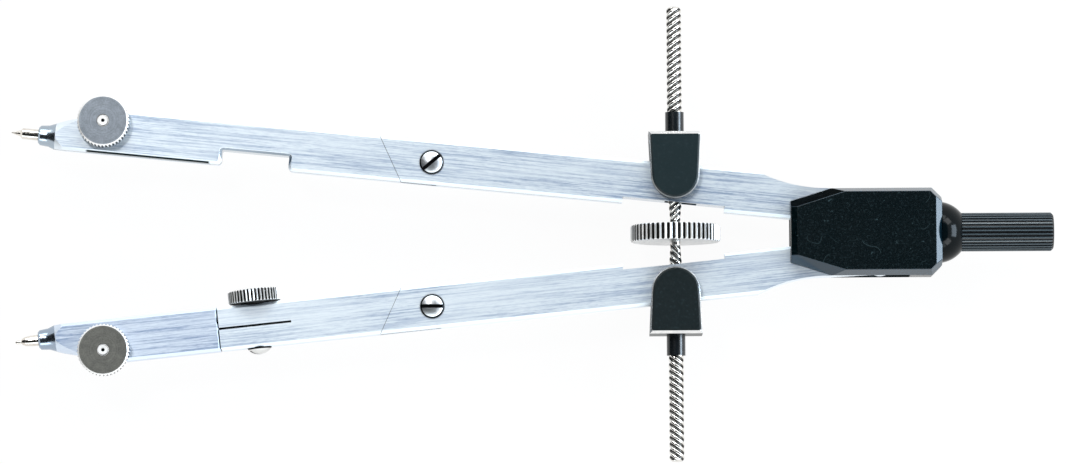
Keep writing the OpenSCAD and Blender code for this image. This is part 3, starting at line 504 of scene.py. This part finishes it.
def fluted_black(name, axis_at, low, high, groove, land, roughness):
    """Satin moulding round an X axis: dark in the flutes as painted shade, paler and smoother on the lands,
    the paleness a painted highlight.
    """
    g = Graph(name)
    grain = g.grain(4200.0, detail=3.0, roughness=0.65)
    streak = g.streaks((0, 0, 0), along=90, across=2400, detail=3.0)
    out = g.ramp(g.distance(axis_at, ROUND_X), low, high)
    land_highlight = g.times(out, g.ramp(streak, 0.25, 0.75, 0.55, 1.0))
    base = g.mix(land_highlight, groove, land)
    rough = g.plus(g.blend(out, roughness + 0.15, roughness), g.times(grain, 0.06))
    normal = g.bump(grain, strength=0.12, distance=GRAIN_HEIGHT)
    return g.principled(base=base, roughness=rough, specular=0.6, normal=normal)


def thread_steel(name, tint, dark):
    """Rolled thread: bright crests, with grooves painted dark as their shade, read from the mesh's own
    depth.
    """
    g = Graph(name)
    depth = g.node("ShaderNodeAttribute", attribute_name="groove").outputs["Fac"]
    fine = g.grain(3800.0, detail=3.0, roughness=0.6)
    # Painted shade: grooves are painted darker at the rod's sides than on top and below
    beside = g.ramp(g.lean(Z), 0.85, 0.50)
    groove = g.mix(beside, shaded(tint, 0.16, 0.16, 0.16), dark)
    groove_shade = g.times(depth, g.plus(1.0, g.times(beside, 2.0)))
    base = g.mix(g.ramp(g.plus(groove_shade, g.times(fine, 0.3)), 0.30, 0.75), tint, groove)
    rough = g.plus(g.times(depth, 0.25), g.ramp(fine, 0.3, 0.7, 0.10, 0.18))
    normal = g.bump(fine, strength=0.12, distance=SCRATCH_HEIGHT)
    return g.principled(base=base, metallic=1.0, roughness=rough, normal=normal)


# Steels

LEG_TINT, END_TINT = colour(0.87, 0.94, 1.0), colour(0.75, 0.83, 0.94)
SLIT_A, SLIT_B = (109.5 * MM, 130.0 * MM), (114.9 * MM, 130.0 * MM)
STRIP_A, STRIP_B = (0.9 * MM, 2.10 * MM), (-0.5 * MM, 0.5 * MM)
SOCKET = (96.58 * MM, 108.4 * MM)
leg_steel = {
    "a": brushed_steel("brushed_steel_a", "a", LEG_TINT, SLIT_A, STRIP_A),
    "b": brushed_steel("brushed_steel_b", "b", LEG_TINT, SLIT_B, STRIP_B, SOCKET, near=1.0),
}
end_steel = brushed_steel("brushed_steel_end", "b", END_TINT, SLIT_B, STRIP_B, contrast=1.5)

bright = bright_steel("bright_steel", colour(0.80, 0.80, 0.78), roughness=0.18)
needle_steel = bright_steel("needle_steel", colour(0.86, 0.82, 0.76), roughness=0.12)
spring_steel = bright_steel("spring_steel", colour(0.50, 0.52, 0.56), roughness=0.28)
# Nearly black steel for the pivot screws, as painted shade where they show in the gap between the covers
dark_steel = bright_steel("dark_steel", colour(0.030, 0.033, 0.036), roughness=0.35)

# Screw heads and studs, with their slots, rims and centres painted dark as their shade
SOCKET_SCREW_SEAT = 3.86 * MM
KNEE_HEAD_R, KNEE_SLOT_HALF = 1.74 * MM, 0.30 * MM
KNEE_SLOT_ANGLE = {"a": math.radians(45.0) - LEG_ANGLE, "b": 0.0}
STUD_CENTRE_R = 0.30 * MM
# Painted shade on the socket screw's head next to the leg
socket_screw_steel = bright_steel(
    "satin_steel",
    colour(0.84, 0.85, 0.84),
    roughness=0.36,
    scratch=0.25,
    joint=0.7 * MM,
    shade_masks=[beside_line(PIVOT["b"], LEG_ANGLE, SOCKET_SCREW_SEAT)],
)


def knee_screw_steel(leg):
    # Painted shade round the knee screw head's rim and in its slot
    rim = beyond(KNEE[leg], KNEE_HEAD_R)
    slot = beside_line(KNEE[leg], KNEE_SLOT_ANGLE[leg], KNEE_SLOT_HALF)
    return bright_steel(
        "knee_steel_" + leg,
        colour(0.74, 0.77, 0.80),
        roughness=0.34,
        scratch=0.25,
        joint=0.3 * MM,
        shade_masks=[rim, slot],
    )


def stud_steel(leg):
    # Painted shade in the stud's centre dimple
    dimple = inside(centre_of("clamp_stud_" + leg), STUD_CENTRE_R)
    return bright_steel(
        "stud_steel_" + leg,
        colour(0.97, 0.96, 0.95),
        roughness=0.62,
        scratch=0.1,
        joint=0.12 * MM,
        shade_masks=[dimple],
    )


# Knobs and wheel

KNOB = {"rim": 4.3 * MM, "knurl": 0.24 * MM}
WHEEL = {"rim": 7.35 * MM, "knurl": 0.30 * MM}
SOCKET_KNOB_SEAT = 0.94 * MM
CLEAR_RINGS, FAINT_RINGS = 0.35, 0.25
# Knob B's tint is darker and warmer than knob A's, as painted shade on two alike knobs
KNOB_TINT = {"a": colour(0.64, 0.71, 0.80), "b": colour(0.50, 0.50, 0.455)}
WHEEL_TINT = colour(0.97, 0.97, 0.96)
knob_steel = {
    leg: turned_steel("turned_steel_" + leg, "clamp_knob_" + leg, Z, KNOB_TINT[leg], CLEAR_RINGS, **KNOB)
    for leg in SIDE
}
socket_knob_steel = turned_steel(
    "turned_steel_socket",
    "socket_knob",
    Y,
    colour(0.84, 0.85, 0.85),
    FAINT_RINGS,
    turn=-LEG_ANGLE,
    seat=SOCKET_KNOB_SEAT,
    **KNOB,
)
wheel_steel = turned_steel("turned_steel_wheel", "adjusting_wheel", Y, WHEEL_TINT, FAINT_RINGS, **WHEEL)
rolled_steel = thread_steel("rolled_thread", colour(0.84, 0.82, 0.78), dark=colour(0.008, 0.008, 0.008))


# Blacks

# The head's bevel colour is a pale bluish painted reflection
head_black = moulded_black(
    "head_black",
    base=colour(0.0001, 0.0026, 0.0036),
    speck=colour(0.008, 0.016, 0.019),
    roughness=0.25,
    grain=0.2,
    specular=0.36,
    bevel=colour(0.008, 0.026, 0.042),
)
gloss_black = moulded_black(
    "gloss_black",
    base=colour(0.0010, 0.0026, 0.0034),
    speck=colour(0.002, 0.004, 0.005),
    roughness=0.09,
    grain=0.04,
    specular=0.13,
)
bush_black = moulded_black(
    "bush_black",
    base=colour(0.005, 0.007, 0.009),
    speck=colour(0.008, 0.011, 0.013),
    roughness=0.2,
    grain=0.06,
    specular=0.6,
)
# Saddle B is darker than saddle A, and A's bright cut fades more at its rounded end: painted shade on two
# alike saddles
SADDLE_BASE = {"a": colour(0.0020, 0.0105, 0.013), "b": colour(0.0004, 0.0050, 0.0062)}
SADDLE_FADE = {"a": 0.3, "b": 0.75}
saddle_black = {
    leg: anodised_black(
        "saddle_black_" + leg,
        "nut_" + leg + "_block",
        SADDLE_BASE[leg],
        speck=colour(0.012, 0.024, 0.028),
        roughness=0.36,
        fade=SADDLE_FADE[leg],
    )
    for leg in SIDE
}
grip_low, grip_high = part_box("handle_grip")
grip_r = (grip_high.y - grip_low.y) / 2
grip_black = fluted_black(
    "grip_black",
    centre_of("handle_grip"),
    low=grip_r - 0.17 * MM,
    high=grip_r - 0.03 * MM,
    groove=colour(0.0015, 0.0022, 0.0030),
    land=colour(0.070, 0.092, 0.105),
    roughness=0.16,
)


# Which piece has which material; the pieces not named here are plain bright steel

LOOKS = {
    "attachment": end_steel,
    "bow_spring": spring_steel,
    "socket_screw": socket_screw_steel,
    "socket_knob": socket_knob_steel,
    "adjusting_wheel": wheel_steel,
    "head_front_cover": head_black,
    "head_rear_cover": head_black,
    "handle_collar": gloss_black,
    "handle_grip": grip_black,
}
for leg in SIDE:
    LOOKS["leg_" + leg + "_upper"] = leg_steel[leg]
    LOOKS["leg_" + leg + "_lower"] = leg_steel[leg]
    LOOKS["needle_" + leg] = needle_steel
    LOOKS["knee_screw_" + leg] = knee_screw_steel(leg)
    LOOKS["leg_pivot_screw_" + leg] = dark_steel
    LOOKS["clamp_stud_" + leg] = stud_steel(leg)
    LOOKS["clamp_knob_" + leg] = knob_steel[leg]
    LOOKS["nut_" + leg + "_block"] = saddle_black[leg]
    LOOKS["nut_" + leg + "_bush"] = bush_black
for name, node in nodes.items():
    node.data.materials.clear()
    node.data.materials.append(LOOKS.get(name, bright))


# Shading: plane faces stay plane, round ones smooth, and the mouldings get slightly broken edges

# Angles in degrees; the front cover's tapered sides lean only a little against their neighbours
HARD_ANGLE, FACET_ANGLE, FLAT_ANGLE = 24.0, 8.0, 0.5
HEAD_EDGE, SADDLE_EDGE, EDGE_SEGMENTS = 0.14 * MM, 0.08 * MM, 2
SAME_POINT = 0.001 * MM


def clean_shading(angle):
    """Node group that joins the mesh's faces again and shades it smooth except across hard edges."""
    tree = bpy.data.node_groups.new("clean_shading", "GeometryNodeTree")
    tree.interface.new_socket("Geometry", in_out="INPUT", socket_type="NodeSocketGeometry")
    tree.interface.new_socket("Geometry", in_out="OUTPUT", socket_type="NodeSocketGeometry")
    add, link = tree.nodes.new, tree.links.new
    start, end = add("NodeGroupInput"), add("NodeGroupOutput")
    drop = add("GeometryNodeRemoveAttribute")
    drop.inputs["Name"].default_value = "custom_normal"
    merge = add("GeometryNodeMergeByDistance")
    merge.inputs["Distance"].default_value = SAME_POINT
    faces, edges = add("GeometryNodeSetShadeSmooth"), add("GeometryNodeSetShadeSmooth")
    faces.domain, edges.domain = "FACE", "EDGE"
    edges.inputs["Shade Smooth"].default_value = False
    bend, hard = add("GeometryNodeInputMeshEdgeAngle"), add("FunctionNodeCompare")
    hard.data_type, hard.operation = "FLOAT", "GREATER_THAN"
    hard.inputs["B"].default_value = math.radians(angle)
    link(bend.outputs["Unsigned Angle"], hard.inputs["A"])
    link(hard.outputs["Result"], edges.inputs["Selection"])
    chain = [start, drop, merge, faces, edges, end]
    for before, after in zip(chain, chain[1:]):
        link(before.outputs[0], after.inputs[0])
    return tree


def break_edges(name, width):
    """Joins a node's coplanar faces and gives its hard edges a narrow round."""
    planar = nodes[name].modifiers.new("planar", "DECIMATE")
    planar.decimate_type = "DISSOLVE"
    planar.angle_limit = math.radians(FLAT_ANGLE)
    bevel = nodes[name].modifiers.new("edges", "BEVEL")
    bevel.width = width
    bevel.segments = EDGE_SEGMENTS
    bevel.limit_method = "ANGLE"
    bevel.angle_limit = math.radians(HARD_ANGLE)
    bevel.harden_normals = True


rounded, faceted = clean_shading(HARD_ANGLE), clean_shading(FACET_ANGLE)
for name, node in nodes.items():
    node.modifiers.new("shading", "NODES").node_group = faceted if name == "head_front_cover" else rounded
for name in ("head_front_cover", "head_rear_cover"):
    break_edges(name, HEAD_EDGE)
for name in ("nut_a_block", "nut_b_block"):
    break_edges(name, SADDLE_EDGE)


# Meshes


def mesh_object(name, verts, faces, material):
    mesh = bpy.data.meshes.new(name)
    mesh.from_pydata(verts, [], faces)
    mesh.validate()
    mesh.materials.append(material)
    made = bpy.data.objects.new(name, mesh)
    bpy.context.scene.collection.objects.link(made)
    return made


def tube_faces(rings, around, flip=False):
    """Faces of a tube over rings of points, with a cap at each end; flip turns them inside out."""
    faces = []
    for j in range(rings - 1):
        this, following = j * around, (j + 1) * around
        for i in range(around):
            k = (i + 1) % around
            faces.append((this + i, following + i, following + k, this + k))
    last = (rings - 1) * around
    faces.append(tuple(range(around)))
    faces.append(tuple(reversed(range(last, last + around))))
    if flip:
        faces = [(face[0], *reversed(face[1:])) for face in faces]
    return faces


# Threaded spindle

RIGHT_HAND, LEFT_HAND = -1.0, 1.0
THREAD_STARTS, THREAD_PITCH, THREAD_DEPTH = 4, 1.08 * MM, 0.30 * MM
STEPS_AROUND, STEPS_PER_PITCH = 56, 14
# Near the wheel each rod is thin and its thread shallower
WAIST_R, WAIST_DEPTH_SHARE = 0.85 * MM, 0.6
# Distances along a rod from the wheel's middle
WAIST_TO, FULL_FROM = 2.0 * MM, 7.0 * MM
THREAD_FROM, THREAD_FULL = 1.5 * MM, 2.1 * MM
# The rounded tip's length, and the share of its section that is lost at the end
TIP_LENGTH, TIP_LOSS = 0.7 * MM, 0.62
# The groove's share of a pitch, the curve of its flanks, and the crest's rise as a share of the depth
GROOVE_SHARE, FLANK_CURVE, CREST_RISE = 0.62, 0.8, 0.12


def progress(value, low, high):
    """How far a value has come from low to high, from 0 to 1."""
    return min(1.0, max(0.0, (value - low) / (high - low)))


def threaded_rod(name, hand):
    """One half of the spindle along Y, with a thread of several starts, right-hand or left-hand."""
    low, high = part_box("spindle_rod_" + name)
    axis_x, axis_z = (low.x + high.x) / 2, (low.z + high.z) / 2
    sign = SIDE[name]
    start, end = (low.y, high.y) if sign > 0 else (-high.y, -low.y)
    crest = (high.x - low.x) / 2
    count = int((end - start) / (THREAD_PITCH / STEPS_PER_PITCH))
    verts, groove = [], []
    for j in range(count + 1):
        y = start + (end - start) * j / count
        swell = progress(y, WAIST_TO, FULL_FROM)
        tip = progress(y, end - TIP_LENGTH, end)
        outer = (WAIST_R + (crest - WAIST_R) * swell) * math.sqrt(1.0 - tip * tip * TIP_LOSS)
        fade = progress(y, THREAD_FROM, THREAD_FULL) * (1.0 - tip)
        depth = THREAD_DEPTH * fade * (WAIST_DEPTH_SHARE + (1.0 - WAIST_DEPTH_SHARE) * swell)
        for i in range(STEPS_AROUND):
            turn = i / STEPS_AROUND
            phase = (hand * THREAD_STARTS * turn - y / THREAD_PITCH) % 1.0
            off_groove = abs(phase - 0.5) * 2
            cut = (1.0 - progress(off_groove, 0.0, GROOVE_SHARE)) ** FLANK_CURVE
            crown = CREST_RISE * progress(off_groove, GROOVE_SHARE, 1.0)
            r = outer - depth * (cut + CREST_RISE - crown)
            a = 2 * math.pi * turn
            verts.append((axis_x + r * math.cos(a), sign * y, axis_z + sign * r * math.sin(a)))
            groove.append(cut * fade)
    rod = mesh_object("threaded_rod_" + name, verts, tube_faces(count + 1, STEPS_AROUND), rolled_steel)
    rod.data.attributes.new("groove", "FLOAT", "POINT").data.foreach_set("value", groove)
    rod.data.polygons.foreach_set("use_smooth", [True] * len(rod.data.polygons))
    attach(rod, "spindle")
    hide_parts("spindle_rod_" + name)


threaded_rod("a", RIGHT_HAND)
threaded_rod("b", LEFT_HAND)


# Bow spring

LEAF_THICK, LEAF_CHAMFER = 0.25 * MM, 0.05 * MM
BEND_STEPS, ARM_STEPS, LEAN_ROUNDS = 14, 48, 6


def leaf_section(half_width):
    """Outline of the leaf with broken corners: out along the path's normal, and up."""
    t, w, c = LEAF_THICK / 2, half_width, LEAF_CHAMFER
    half = [(t, c - w), (t, w - c), (t - c, w), (c - t, w)]
    return half + [(-out, -up) for out, up in half]


def arm_path(outer, reach, spread):
    """Middle line of an arm, with its normals: the bend round the post, then straight to the tip."""
    inner, middle = outer - LEAF_THICK, outer - LEAF_THICK / 2
    # The arm's lean and its length depend on each other; a few rounds settle both
    lean = 0.0
    for _ in range(LEAN_ROUNDS):
        length = reach + inner * math.sin(lean)
        lean = math.atan2(spread - outer * math.cos(lean), length)
    path = []
    for i in range(BEND_STEPS + 1):
        a = (math.pi / 2 - lean) * i / BEND_STEPS
        path.append((middle * math.cos(a), middle * math.sin(a), math.cos(a), math.sin(a)))
    bend_x, bend_y, out_x, out_y = path[-1]
    for i in range(1, ARM_STEPS + 1):
        gone = length / math.cos(lean) * i / ARM_STEPS
        path.append((bend_x - gone * math.cos(lean), bend_y + gone * math.sin(lean), out_x, out_y))
    return path


def spring_arm(leg, side):
    """Half of the bow spring, from the bend round its post to its tip at the leg."""
    low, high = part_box("bow_spring")
    post = centre_of("spring_post")
    outer = high.x - post.x
    path = arm_path(outer, post.x - low.x, high.y)
    section = leaf_section((high.z - low.z) / 2)
    verts = []
    for x, y, normal_x, normal_y in path:
        for out, up in section:
            verts.append((post.x + x + out * normal_x, side * (y + out * normal_y), post.z + up))
    faces = tube_faces(len(path), len(section), flip=side > 0)
    arm = mesh_object("bow_spring_arm_" + leg, verts, faces, spring_steel)
    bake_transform(arm)
    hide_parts("bow_spring")


for leg, side in SIDE.items():
    spring_arm(leg, side)


# Studio

STUDIO_AIM = (0.0, 0.0, 7 * MM)


def looking_at(location):
    """Matrix of something at a place whose -Z axis points at the tool."""
    to = (Vector(STUDIO_AIM) - Vector(location)).normalized()
    return Matrix.Translation(location) @ to.to_track_quat("-Z", "Y").to_matrix().to_4x4()


def plane(name, size, matrix, material):
    half = size / 2
    corners = [(-half, -half, 0), (half, -half, 0), (half, half, 0), (-half, half, 0)]
    made = mesh_object(name, corners, [(0, 1, 2, 3)], material)
    made.matrix_world = matrix
    return made


def floor_material():
    """White table: plain white to the eye and in reflections, with a soft trace of the shadow."""
    g = Graph("floor_white")
    ray = g.node("ShaderNodeLightPath").outputs
    seen = g.larger(g.larger(ray["Is Camera Ray"], ray["Is Glossy Ray"]), ray["Is Transmission Ray"])
    diffuse = g.node("ShaderNodeBsdfDiffuse", {"Color": colour(0.9, 0.9, 0.9)}).outputs["BSDF"]
    glow = g.node("ShaderNodeEmission", {"Color": colour(1, 1, 1), "Strength": 1.0}).outputs["Emission"]
    mixed = g.node("ShaderNodeMixShader", {0: g.times(seen, 0.95), 1: diffuse, 2: glow})
    return g.finish(mixed.outputs["Shader"])


def card_material():
    g = Graph("card_black")
    return g.finish(g.node("ShaderNodeBsdfDiffuse", {"Color": colour(0.02, 0.02, 0.02)}).outputs["BSDF"])


def card(name, size, location):
    """Black card that the camera doesn't see and that casts no shadow."""
    made = plane(name, size, looking_at(location), card_black)
    made.visible_camera = False
    made.visible_shadow = False


def lamp(name, azimuth, elevation, distance, size, watts, tint=(1, 1, 1)):
    a, e = math.radians(azimuth), math.radians(elevation)
    place = distance * Vector((math.cos(a) * math.cos(e), math.sin(a) * math.cos(e), math.sin(e)))
    data = bpy.data.lights.new(name, "AREA")
    data.shape = "RECTANGLE"
    data.size, data.size_y = size
    data.energy = watts
    data.color = tint
    made = bpy.data.objects.new(name, data)
    made.matrix_world = looking_at(place)
    bpy.context.scene.collection.objects.link(made)


FLOOR_SIZE, FLOOR_Z = 8.0, -0.05 * MM
plane("floor", FLOOR_SIZE, Matrix.Translation((0, 0, FLOOR_Z)), floor_material())
card_black = card_material()
card("ceiling_card", size=1.6, location=(0.0, -0.09, 0.95))
card("left_card", size=1.1, location=(-0.85, 0.0, 0.45))

WIDE, SQUARE = (1.1, 0.30), (0.30, 0.30)
SKY, PALE = (0.70, 0.85, 1.0), (0.95, 0.98, 1.0)
lamp("key", azimuth=130, elevation=60, distance=0.85, size=(0.16, 0.16), watts=1.7)
lamp("right", azimuth=3, elevation=25, distance=0.9, size=(0.55, 0.30), watts=7.4, tint=SKY)
lamp("right_upper", azimuth=42, elevation=34, distance=0.9, size=SQUARE, watts=1.6, tint=PALE)
lamp("right_lower", azimuth=-42, elevation=34, distance=0.9, size=SQUARE, watts=1.6, tint=PALE)
lamp("far_side", azimuth=92, elevation=34, distance=0.95, size=WIDE, watts=4.6, tint=(0.88, 0.97, 1.0))
lamp("near_side", azimuth=-92, elevation=34, distance=0.95, size=WIDE, watts=3.0, tint=(0.84, 0.95, 1.0))

world = bpy.data.worlds.new("studio")
bpy.context.scene.world = world
world.use_nodes = True
background = world.node_tree.nodes["Background"]
background.inputs["Color"].default_value = colour(1.0, 1.0, 1.0)
background.inputs["Strength"].default_value = 1.0


# Camera, as the photograph looks: almost straight down, through a long lens

VIEW_W, SENSOR_W = 173.9 * MM, 36.0
TILT, ROLL, DISTANCE = math.radians(4.8), math.radians(0.33), 1.1
CAMERA_AIM = Vector((0.22 * MM, 0.27 * MM, 9.35 * MM))
camera_data = bpy.data.cameras.new("camera")
camera_data.sensor_width = SENSOR_W
camera_data.sensor_fit = "HORIZONTAL"
camera_data.lens = SENSOR_W * DISTANCE / VIEW_W
camera_data.clip_start, camera_data.clip_end = 0.05, 20.0
camera = bpy.data.objects.new("camera", camera_data)
bpy.context.scene.collection.objects.link(camera)
bpy.context.scene.camera = camera
back = Vector((0.0, -math.sin(TILT), math.cos(TILT)))
turn = (-back).to_track_quat("-Z", "Y").to_matrix() @ Matrix.Rotation(-ROLL, 3, "Z")
camera.matrix_world = Matrix.Translation(CAMERA_AIM + back * DISTANCE) @ turn.to_4x4()

bpy.context.scene.view_settings.view_transform = "Standard"
